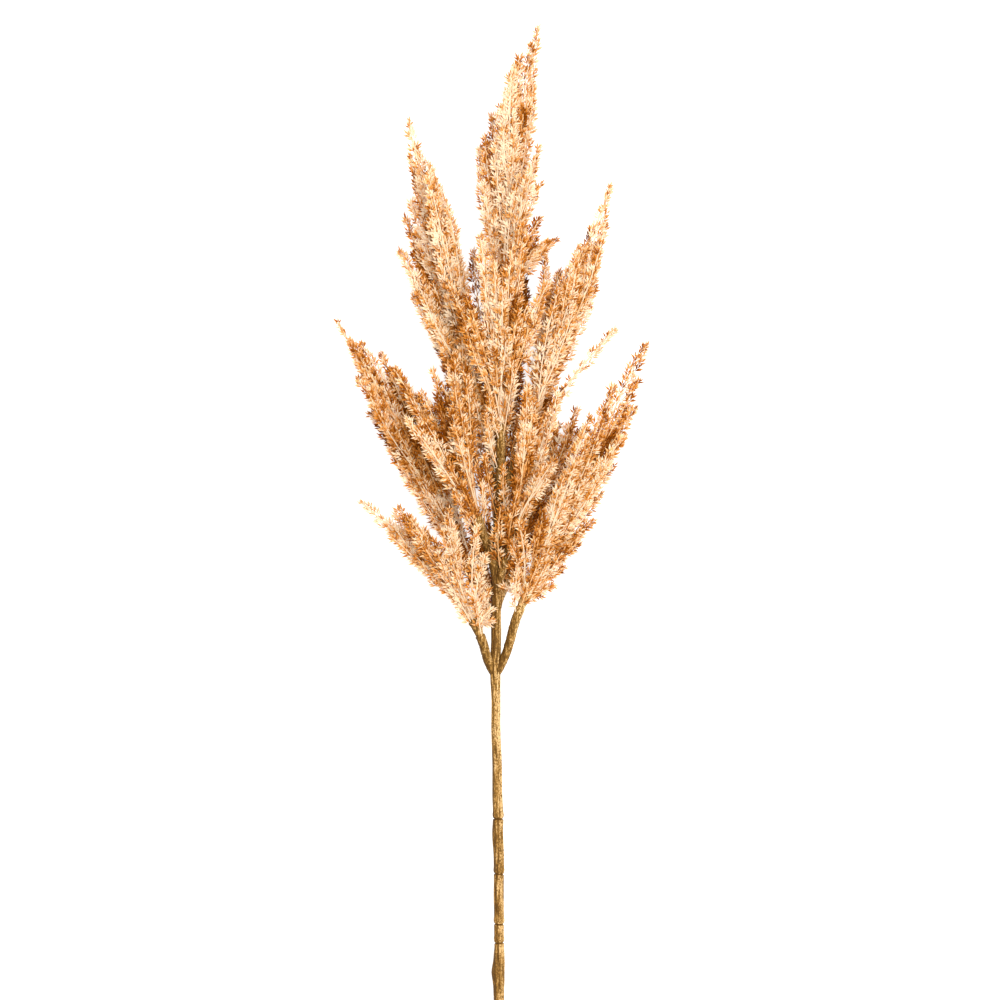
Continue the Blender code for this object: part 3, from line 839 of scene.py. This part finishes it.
def twigs_of(line, rng, size, bare):
    """Where a frond's twigs stand: (feet, tangents, headings, lengths), from the tip down."""
    steps = np.linalg.norm(np.diff(line, axis=0), axis=1)
    walked = np.concatenate([[0.0], np.cumsum(steps)])
    length = walked[-1]
    places = []
    from_tip = TWIG_FIRST
    while length - from_tip > min(bare, BARE_MOST * length):
        places.append(from_tip)
        share = min(1.0, from_tip / GAP_SPREAD)
        gap = TWIG_GAP_TIP + (TWIG_GAP_ROOT - TWIG_GAP_TIP) * share
        from_tip += gap * rng.uniform(*GAP_SIZES)
    from_tip = np.array(places)
    count = len(from_tip)
    tangents, sides, ups = frames(line)

    def at(values):
        """These values of the line's points, at every twig's foot."""
        return np.stack([np.interp(length - from_tip, walked, values[:, k]) for k in range(3)], -1)

    feet, tangent, side, up = at(line), unit(at(tangents)), at(sides), at(ups)
    turn = np.arange(count) * TWIG_RANKS + rng.uniform(-TWIG_TURN, TWIG_TURN)
    turn = turn + np.array([rng.uniform(-TWIG_SCATTER, TWIG_SCATTER) for _ in range(count)])
    outward = side * np.cos(turn)[:, None] + up * np.sin(turn)[:, None]
    share = np.minimum(1.0, from_tip / LEAN_SPREAD)
    jitter = np.array([rng.uniform(-TWIG_LEAN_JITTER, TWIG_LEAN_JITTER) for _ in range(count)])
    lean = TWIG_LEAN_TIP + (TWIG_LEAN_ROOT - TWIG_LEAN_TIP) * share + jitter
    headings = tangent * np.cos(lean)[:, None] + outward * np.sin(lean)[:, None]
    lengths = np.minimum(TWIG_LENGTH_TIP + TWIG_LENGTH_GROWTH * from_tip, TWIG_LENGTH_MOST)
    lengths = lengths * size * np.array([rng.uniform(*TWIG_SIZES) for _ in range(count)])
    return feet, tangent, unit(headings), lengths


def add_twigs(sheaf, feet, tangents, headings, lengths, tones):
    """Thin three-sided stalks, one to each twig."""
    side = unit(np.cross(headings, tangents + 1e-4))
    up = np.cross(side, headings)
    rings = []
    for share in (0.0, 1.0):
        centre = twig_place(feet, tangents, headings, lengths, share)
        radius = TWIG_RADIUS * (1.0 - TWIG_TAPER * share)
        for corner in range(TWIG_SIDES):
            angle = corner * 2 * math.pi / TWIG_SIDES
            rings.append(centre + (side * math.cos(angle) + up * math.sin(angle)) * radius)
    points = np.stack(rings, 1).reshape(-1, 3)
    pattern = []
    for corner in range(TWIG_SIDES):
        after = (corner + 1) % TWIG_SIDES
        pattern += [(corner, after, after + TWIG_SIDES), (corner, after + TWIG_SIDES, corner + TWIG_SIDES)]
    start = np.arange(len(feet))[:, None, None] * len(rings)
    sheaf.add(points, (start + np.array(pattern)).reshape(-1, 3), np.repeat(tones, len(rings)))


def twig_place(feet, tangents, headings, lengths, share):
    """The point this share of the way along each twig."""
    share = np.reshape(share, (-1, 1))
    bend = TWIG_CURL * share * share * (tangents - headings)
    return feet + (headings * share + bend) * lengths[:, None]


def add_spikelets(sheaf, feet, tangents, headings, lengths, tones, rng):
    """Pointed spikelets fanned out left and right of every twig, and one at its end."""
    counts = np.round(SPIKELETS_START + lengths / SPIKELET_PITCH).astype(int)
    counts = np.clip(counts, SPIKELETS_LEAST, SPIKELETS_MOST)
    owner = np.repeat(np.arange(len(feet)), counts)
    number = np.concatenate([np.arange(count) for count in counts])
    share = SPIKELET_FIRST + (1.0 - SPIKELET_FIRST) * number / (counts[owner] - 1)
    last = number == counts[owner] - 1
    base = twig_place(feet[owner], tangents[owner], headings[owner], lengths[owner], share)
    tangent = tangents[owner]
    along = unit(headings[owner] + 2 * TWIG_CURL * share[:, None] * (tangent - headings[owner]))
    forward = unit(tangent - along * np.sum(tangent * along, axis=1, keepdims=True) + 1e-5)
    through = np.cross(along, forward)
    seeds = np.array([[rng.random() for _ in range(4)] for _ in range(len(owner))])
    lift = (seeds[:, :1] - 0.5) * SPIKELET_LIFT
    hand = np.where((number + owner) % 2, 1.0, -1.0)[:, None]
    outward = unit(forward * hand + through * lift)
    spread = SPIKELET_SPREAD * within(SPIKELET_SPREADS, seeds[:, 1])
    spread = np.where(last, SPIKELET_END_SPREAD, spread)[:, None]
    heading = unit(along * np.cos(spread) + outward * np.sin(spread))
    size = SPIKELET_SIZE_START + lengths[owner] / SPIKELET_SIZE_RUN
    size = within(SPIKELET_SIZES, seeds[:, 2]) * np.clip(size, *SPIKELET_SIZE_LIMITS)
    length = (SPIKELET_LENGTH * size)[:, None]
    flat = unit(np.cross(heading, through) + 1e-5)
    thick = np.cross(flat, heading)
    width = SPIKELET_WIDTH / 2 * np.clip(length / SPIKELET_LENGTH, *SPIKELET_WIDTH_LIMITS)
    skew_in, skew_down = SPIKELET_SKEW
    belly = base + heading * length * SPIKELET_BELLY
    corners = [
        base,
        belly + flat * width,
        belly - flat * width * skew_in - thick * width * skew_down,
        belly + thick * width * SPIKELET_KEEL,
        base + heading * length,
    ]
    points = np.stack(corners, 1).reshape(-1, 3)
    pattern = np.array([(0, 1, 3), (0, 3, 2), (0, 2, 1), (4, 3, 1), (4, 2, 3), (4, 1, 2)])
    faces = (np.arange(len(owner))[:, None, None] * len(corners) + pattern).reshape(-1, 3)
    tone = tones[owner] + (seeds[:, 3] - 0.5) * SPIKELET_TONES
    # each spikelet gets painted shade at its foot and edges and a painted highlight on its back
    shades = tone[:, None] + np.array(CORNER_SHADING)
    sheaf.add(points, faces, shades.ravel())


def grow_frond(sheaf, frond, canopy, rng):
    """One frond: its pale rachis, and its twigs and their spikelets."""
    line, tone, girth, (feet, tangents, headings, lengths) = frond
    radii = np.linspace(RACHIS_ROOT * girth, RACHIS_TIP, len(line))
    points, faces = tube(line, radii, RACHIS_SIDES)
    sheaf.add(points, faces, tone + RACHIS_TONE + canopy.shade(points))
    ends = feet + headings * lengths[:, None]
    tones = tone + canopy.shade(ends) + np.interp(np.linspace(0.0, 1.0, len(feet)), *zip(*ALONG_TONES))
    tones = tones + np.array([rng.uniform(-TWIG_TONES, TWIG_TONES) for _ in range(len(feet))])
    add_twigs(sheaf, feet, tangents, headings, lengths, tones - TWIG_DIMMER)
    add_spikelets(sheaf, feet, tangents, headings, lengths, tones, rng)


def frond_tone(head, line, rng):
    """How pale a frond is: those that lie high are painted a little paler as painted light, and some heads
    are paler too.
    """
    height = line[len(line) * 2 // 3].z
    tone = FROND_TONE + head.get("tone", 0.0) + PAINTED_HEIGHT_LIGHT * min(1.0, height / HIGH)
    return tone + rng.uniform(-FROND_TONES, FROND_TONES)


def plan_head(head, lines, rng):
    """Every frond of a head, as (line, tone, girth of its rachis, twigs)."""
    fronds = []

    def add(line, tone, size, girth, bare):
        """Plan a frond: its twigs' size, its rachis's girth and the bare stretch at its foot."""
        line = np.array([tuple(point) for point in line])
        fronds.append((line, tone, girth, twigs_of(line, rng, size, bare)))

    for number, line in enumerate(lines):
        lone = number in head.get("lone", ())
        tone = frond_tone(head, line, rng) - (LONE_DIMMER if lone else 0.0)
        add(line, tone, rng.uniform(*FROND_SIZES), 1.0, rng.uniform(*BARE_FEET))
        if lone:
            continue
        for shoot in shoots_of(line, rng):
            shoot_tone = tone + rng.uniform(-SHOOT_TONE, SHOOT_TONE)
            add(shoot, shoot_tone, rng.uniform(*SHOOT_SIZES), SHOOT_GIRTH, SHOOT_BARE)
    for line in extra_lines(head, rng):
        tone = frond_tone(head, line, rng) - LOW_DIMMER
        add(line, tone, rng.uniform(*EXTRA_SIZES), SIDE_GIRTH, rng.uniform(*BARE_FEET))
    for tip in head.get("cover", ()):
        line = frond_line(head, Vector(tip), rng.uniform(0, 2 * math.pi))
        add(line, frond_tone(head, line, rng), rng.uniform(*COVER_SIZES), SIDE_GIRTH, COVER_FOOT)
    low = base_shoots(head, rng)
    if head["leaves"] is not None:
        low += branch_shoots(head, rng)
    for line in low:
        tone = frond_tone(head, line, rng) - LOW_DIMMER
        add(line, tone, rng.uniform(*LOW_SIZES), SHOOT_GIRTH, SHOOT_BARE)
    return fronds


def build_head(name, head, fronds, canopy, materials, rng):
    """A head of fronds: those of the solid, and the finer ones in between, around its core."""
    sheaf = Sheaf()
    axis = Vector(head["axis"]).normalized()
    socket = Vector(head["socket"])
    line = np.array([tuple(socket + axis * place) for place, _ in CORE])
    sheaf.add(*tube(line, [radius for _, radius in CORE], CORE_SIDES), MIDDLE_TONE, CANE)
    for frond in fronds:
        grow_frond(sheaf, frond, canopy, rng)
    piece = sheaf.piece("fronds_" + name, materials, False)
    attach(piece, ROOT)
    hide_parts("head_" + name)


def noise_row(count, rng, waves):
    """A smooth random curve, from -1 to 1, over this many places."""
    at = np.linspace(0.0, 1.0, count)
    total = np.zeros(count)
    for wave in waves:
        total += np.sin(2 * math.pi * (wave * at + rng.random())) * rng.uniform(0.5, 1.0)
    return total / max(1e-9, np.abs(total).max())


def wavy_radii(base, sides, rng, count):
    """Radii for a fluted, knobbly tube: one for each ring and side."""
    angles = np.arange(sides) * 2 * math.pi / sides
    drift = noise_row(count, rng, FLUTE_WAVES) * FLUTE_DRIFT
    flutes = np.cos(FLUTE_COUNT * (angles[None, :] + drift[:, None]))
    radii = base[:, None] + flutes * FLUTE_DEPTH
    for _ in range(max(KNOBS_LEAST, count // KNOB_RINGS)):
        ring = rng.uniform(0, count)
        angle = rng.uniform(0, 2 * math.pi)
        length = rng.uniform(*KNOB_LENGTHS)
        width = rng.uniform(*KNOB_WIDTHS)
        turned = (angles - angle + math.pi) % (2 * math.pi) - math.pi
        away = ((np.arange(count)[:, None] - ring) / length) ** 2
        bump = np.exp(-away - (turned[None, :] / width) ** 2)
        radii = radii + bump * KNOB_DEPTH * rng.choice(KNOB_SIGNS)
    return radii


def relief_shading(radii, base, shaded):
    """Tones for a tube's points: ridges painted pale and hollows painted dark as painted light and shade,
    plus each ring's own painted shade.
    """
    relief = (radii - base[:, None]) / RELIEF_DEPTH
    tones = MIDDLE_TONE + np.clip(relief, -1.0, 1.0) * RELIEF_SHADE_AND_LIGHT + shaded[:, None]
    return np.concatenate([tones.ravel(), tones[0, :1], tones[-1, :1]])


def build_stem(material):
    """The stem and its branches: fluted, knobbly tubes grown into one another."""
    rng = random.Random(SEED)
    sheaf = Sheaf()
    places = [np.linspace(CUT_END_Y, STEM_TOP_Y, round((STEM_TOP_Y - CUT_END_Y) / STEM_PITCH))]
    rows = RING_HALF_WIDTH * np.linspace(-RING_REACH, RING_REACH, RING_ROWS)
    places += [ring + rows for ring in RING_PLACES]
    places = np.sort(np.concatenate(places))
    count = len(places)
    line = np.array([tuple(stem_point(y)) for y in places])
    line[:, 0] += noise_row(count, rng, STEM_WAVES) * STEM_WAVER
    line[:, 0] -= KNUCKLE_SHIFT * np.exp(-((places - KNUCKLE_PLACE) / KNUCKLE_LENGTH) ** 2)
    base = np.array([between(STEM_GIRTHS, y) for y in places])
    for ring in RING_PLACES:
        base -= RING_DEPTH * np.exp(-((places - ring) / RING_HALF_WIDTH) ** 2)
        base += LIP_HEIGHT * np.exp(-((places - ring - LIP_AWAY) / LIP_WIDTH) ** 2)
    radii = wavy_radii(base, STEM_SIDES, rng, count)
    shaded = np.interp(places, SHADED_STEM, (0.0, STEM_SHADE))
    for ring in RING_PLACES:
        shaded += RING_SHADE * np.exp(-((places - ring) / RING_HALF_WIDTH) ** 2)
    sheaf.add(*tube(line, radii, STEM_SIDES), relief_shading(radii, base, shaded))
    for head in HEADS.values():
        if head["leaves"] is None:
            continue
        control = branch_control(head)
        shares = np.linspace(0.0, 1.0, BRANCH_RINGS)
        line = np.array([tuple(bezier(control, share)) for share in shares])
        base = BRANCH_RADIUS * np.linspace(*BRANCH_GIRTHS, BRANCH_RINGS)
        base += BRANCH_LIP * np.exp(-((shares - 1.0) / BRANCH_LIP_WIDTH) ** 2)
        radii = wavy_radii(base, BRANCH_SIDES, rng, BRANCH_RINGS)
        shaded = np.interp(shares, *zip(*BRANCH_SHADE))
        sheaf.add(*tube(line, radii, BRANCH_SIDES), relief_shading(radii, base, shaded))
    piece = sheaf.piece("stem_and_branches", [material], True)
    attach(piece, ROOT)
    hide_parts("stem")


class Nodes:
    """A new node material, with short ways to add and join its nodes."""

    def __init__(self, name):
        self.material = bpy.data.materials.new(name)
        self.material.use_nodes = True
        self.tree = self.material.node_tree
        self.shader = self.tree.nodes["Principled BSDF"]
        self.output = self.tree.nodes["Material Output"]

    def add(self, kind, **inputs):
        """A new node with these inputs, whose names have _ for each space."""
        node = self.tree.nodes.new(kind)
        for name, value in inputs.items():
            self.feed(node, name.replace("_", " "), value)
        return node

    def feed(self, node, name, value):
        """Join another node's output to an input, or set the input to a value."""
        if isinstance(value, bpy.types.NodeSocket):
            self.tree.links.new(value, node.inputs[name])
        else:
            node.inputs[name].default_value = value

    def ramp(self, factor, stops):
        """The colour at a factor along (place, colour) stops."""
        node = self.tree.nodes.new("ShaderNodeValToRGB")
        elements = node.color_ramp.elements
        while len(elements) < len(stops):
            elements.new(0.5)
        for element, (place, colour) in zip(elements, stops):
            element.position = place
            element.color = (*colour, 1.0)
        self.tree.links.new(factor, node.inputs["Fac"])
        return node.outputs["Color"]

    def noise(self, scale, stretch, detail):
        """Noise from 0 to 1 that is fixed to the piece."""
        place = self.add("ShaderNodeTexCoord").outputs["Object"]
        mapped = self.add("ShaderNodeMapping", Vector=place, Scale=stretch).outputs["Vector"]
        return self.add("ShaderNodeTexNoise", Vector=mapped, Scale=scale, Detail=detail).outputs["Fac"]

    def swing(self, value, amount):
        """A value that runs from 0 to 1, spread evenly about zero instead."""
        return self.maths("MULTIPLY", self.maths("SUBTRACT", value, 0.5), amount)

    def normal(self, axis):
        """How far the surface faces along one of the world's axes."""
        split = self.add("ShaderNodeSeparateXYZ")
        facing = self.add("ShaderNodeNewGeometry").outputs["Normal"]
        self.tree.links.new(facing, split.inputs[0])
        return split.outputs[axis]

    def tone(self):
        """The tone that each point of the mesh carries."""
        node = self.add("ShaderNodeAttribute")
        node.attribute_name = "tone"
        return node.outputs["Fac"]

    def maths(self, operation, first, second):
        """The result of an operation on two values."""
        node = self.tree.nodes.new("ShaderNodeMath")
        node.operation = operation
        for socket, value in zip(node.inputs, (first, second)):
            if isinstance(value, bpy.types.NodeSocket):
                self.tree.links.new(value, socket)
            else:
                socket.default_value = value
        return node.outputs["Value"]

    def mix(self, factor, first, second):
        """A colour between two others."""
        node = self.tree.nodes.new("ShaderNodeMix")
        node.data_type = "RGBA"
        for name, value in (("Factor", factor), ("A", first), ("B", second)):
            socket = next(s for s in node.inputs if s.name == name and s.enabled)
            if isinstance(value, bpy.types.NodeSocket):
                self.tree.links.new(value, socket)
            else:
                socket.default_value = (*value, 1.0) if name != "Factor" else value
        return next(s for s in node.outputs if s.enabled)


def frond_material():
    """Straw that runs from toasted brown to pale cream, with light coming through it and a painted
    highlight on faces that point up.
    """
    nodes = Nodes("plume_straw")
    tone = nodes.tone()
    patches = nodes.swing(nodes.noise(*STRAW_PATCHES), PATCH_AMOUNT)
    grain = nodes.swing(nodes.noise(*STRAW_GRAIN), GRAIN_AMOUNT)
    # painted highlight: faces that point up are painted paler, more so where the tone is pale
    top_highlight = nodes.maths("MULTIPLY", nodes.normal("Z"), nodes.maths("MULTIPLY", tone, PAINTED_TOP_HIGHLIGHT))
    # flecks holds the painted highlight on up-facing faces as well as the random patches and grain
    flecks = nodes.maths("ADD", top_highlight, nodes.maths("ADD", patches, grain))
    total = nodes.maths("ADD", tone, flecks)
    nodes.feed(nodes.shader, "Base Color", nodes.ramp(total, FROND_RAMP))
    nodes.feed(nodes.shader, "Roughness", STRAW_ROUGHNESS)
    nodes.feed(nodes.shader, "Specular IOR Level", STRAW_GLOSS)
    warm = nodes.ramp(nodes.maths("SUBTRACT", total, THROUGH_DIMMER), FROND_RAMP)
    through = nodes.add("ShaderNodeBsdfTranslucent", Color=warm)
    both = nodes.tree.nodes.new("ShaderNodeMixShader")
    both.inputs[0].default_value = LIGHT_THROUGH
    nodes.tree.links.new(nodes.shader.outputs[0], both.inputs[1])
    nodes.tree.links.new(through.outputs[0], both.inputs[2])
    nodes.tree.links.new(both.outputs[0], nodes.output.inputs["Surface"])
    return nodes.material


def stem_material():
    """Tan cane with dark lengthwise streaks and fine speckles, its ridges painted pale and its hollows
    painted dark as painted light and shade, and its +X side painted paler.
    """
    nodes = Nodes("stem_cane")
    streaks = nodes.noise(*CANE_STREAKS)
    speckle = nodes.noise(*CANE_SPECKLE)
    patches = nodes.noise(*CANE_PATCHES)
    # lift carries the tone's painted shade and painted ridge light, and then adds painted light on the +X
    # side
    lift = nodes.maths("SUBTRACT", nodes.tone(), MIDDLE_TONE)
    lift = nodes.maths("ADD", lift, nodes.maths("MULTIPLY", nodes.normal("X"), PAINTED_SIDE_LIGHT))
    flecks = nodes.maths("SUBTRACT", speckle, 0.5)
    spread = nodes.maths("ADD", nodes.swing(streaks, STREAK_AMOUNT), flecks)
    total = nodes.maths("ADD", nodes.maths("ADD", lift, spread), patches)
    body = nodes.ramp(total, STEM_RAMP)
    dots = nodes.ramp(speckle, DOT_RAMP)
    nodes.feed(nodes.shader, "Base Color", nodes.mix(dots, STEM_SPECKLE, body))
    least, more = CANE_ROUGHNESS
    rough = nodes.maths("ADD", nodes.maths("MULTIPLY", speckle, more), least)
    nodes.feed(nodes.shader, "Roughness", rough)
    nodes.feed(nodes.shader, "Specular IOR Level", CANE_GLOSS)
    strength, depth = CANE_BUMP
    height = nodes.maths("ADD", streaks, speckle)
    bump = nodes.add("ShaderNodeBump", Strength=strength, Distance=depth, Height=height)
    nodes.feed(nodes.shader, "Normal", bump.outputs["Normal"])
    return nodes.material


def floor_material():
    """A pale, very slightly uneven floor."""
    nodes = Nodes("floor_pale")
    cloud = nodes.noise(*FLOOR_CLOUDS)
    nodes.feed(nodes.shader, "Base Color", nodes.mix(cloud, FLOOR_COLOUR, FLOOR_CLOUD))
    nodes.feed(nodes.shader, "Roughness", FLOOR_ROUGHNESS)
    nodes.feed(nodes.shader, "Emission Color", (1.0, 1.0, 1.0, 1.0))
    nodes.feed(nodes.shader, "Emission Strength", FLOOR_GLOW)
    return nodes.material


def build_studio():
    """The floor, the lights and the camera, which looks straight down as the photo does."""
    bpy.ops.mesh.primitive_plane_add(size=FLOOR_SIDE, location=(0, 0, 0))
    floor = bpy.context.active_object
    floor.name = "floor"
    floor.data.materials.append(floor_material())
    world = bpy.data.worlds.new("studio")
    world.use_nodes = True
    background = world.node_tree.nodes["Background"]
    background.inputs["Color"].default_value = WORLD_COLOUR
    background.inputs["Strength"].default_value = WORLD_STRENGTH
    bpy.context.scene.world = world
    bpy.context.scene.view_settings.view_transform = "Standard"
    lamp = bpy.data.lights.new("key", "AREA")
    lamp.size = KEY_SIZE
    lamp.energy = KEY_POWER
    lamp.color = KEY_COLOUR
    key = bpy.data.objects.new("key", lamp)
    key.location = KEY_PLACE
    key.rotation_euler = (-Vector(KEY_PLACE)).to_track_quat("-Z", "Y").to_euler()
    bpy.context.scene.collection.objects.link(key)
    view = bpy.data.cameras.new("view")
    view.sensor_width = SENSOR_WIDTH
    view.lens = SENSOR_WIDTH * CAMERA_DISTANCE / VIEW_WIDTH
    view.clip_end = 100.0
    camera = bpy.data.objects.new("view", view)
    camera.location = (*VIEW_CENTRE, VIEW_HEIGHT + CAMERA_DISTANCE)
    bpy.context.scene.collection.objects.link(camera)
    bpy.context.scene.camera = camera


def main():
    """Plan every head, work out the shade they cast, and build the pieces and the studio."""
    straw, cane = frond_material(), stem_material()
    rng = random.Random(SEED)
    plans = {name: plan_head(HEADS[name], lines, rng) for name, lines in main_lines().items()}
    twigs = [frond[-1] for fronds in plans.values() for frond in fronds]
    ends = [feet + headings * lengths[:, None] for feet, _, headings, lengths in twigs]
    canopy = Canopy(np.concatenate(ends))
    for name, fronds in plans.items():
        build_head(name, HEADS[name], fronds, canopy, [straw, cane], rng)
    build_stem(cane)
    build_studio()


main()
